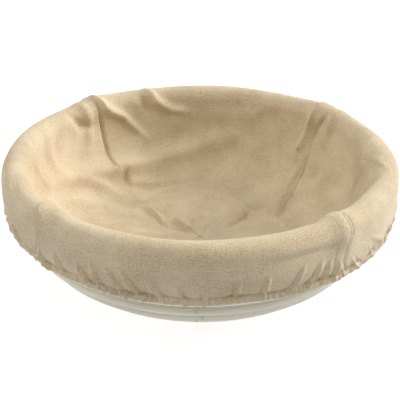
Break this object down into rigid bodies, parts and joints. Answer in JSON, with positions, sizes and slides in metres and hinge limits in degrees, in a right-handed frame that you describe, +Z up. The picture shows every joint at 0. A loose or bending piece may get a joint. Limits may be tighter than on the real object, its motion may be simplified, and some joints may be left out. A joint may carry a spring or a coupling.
{
  "type": "proofing basket",
  "caption": "Round shallow proofing basket of coiled rattan cane with a fitted linen liner whose skirt turns down over the rim into an elastic hem.",
  "frame": {"origin": "middle of the underside, on the surface the basket stands on", "axes": "+Z up through the basket's axis, -Y the front, +X the basket's right as seen from the front"},
  "size_m": [0.2398, 0.2398, 0.0687],
  "materials": {
    "rattan": "sanded, unvarnished",
    "staple_wire": "galvanised",
    "linen": "plain weave, unbleached",
    "thread": "cotton thread",
    "elastic": "covered elastic"
  },
  "bodies": {
    "basket": {"base_cane": "rattan", "lower_wall_cane": "rattan", "upper_wall_cane": "rattan", "rim_cane": "rattan", "base_staples": "staple_wire", "wall_staples": "staple_wire", "rim_staples": "staple_wire"},
    "liner": {"rear_gore": "linen", "left_gore": "linen", "front_gore": "linen", "right_gore": "linen", "hem_elastic": "elastic", "hem_thread": "thread", "rear_right_seam_thread": "thread", "rear_left_seam_thread": "thread", "front_left_seam_thread": "thread", "front_right_seam_thread": "thread"}
  },
  "joints": [
    {"name": "liner_lift", "type": "slide", "parent": "basket", "child": "liner", "axis": [0, 0, 1], "range_m": [0, 0.08]}
  ]
}
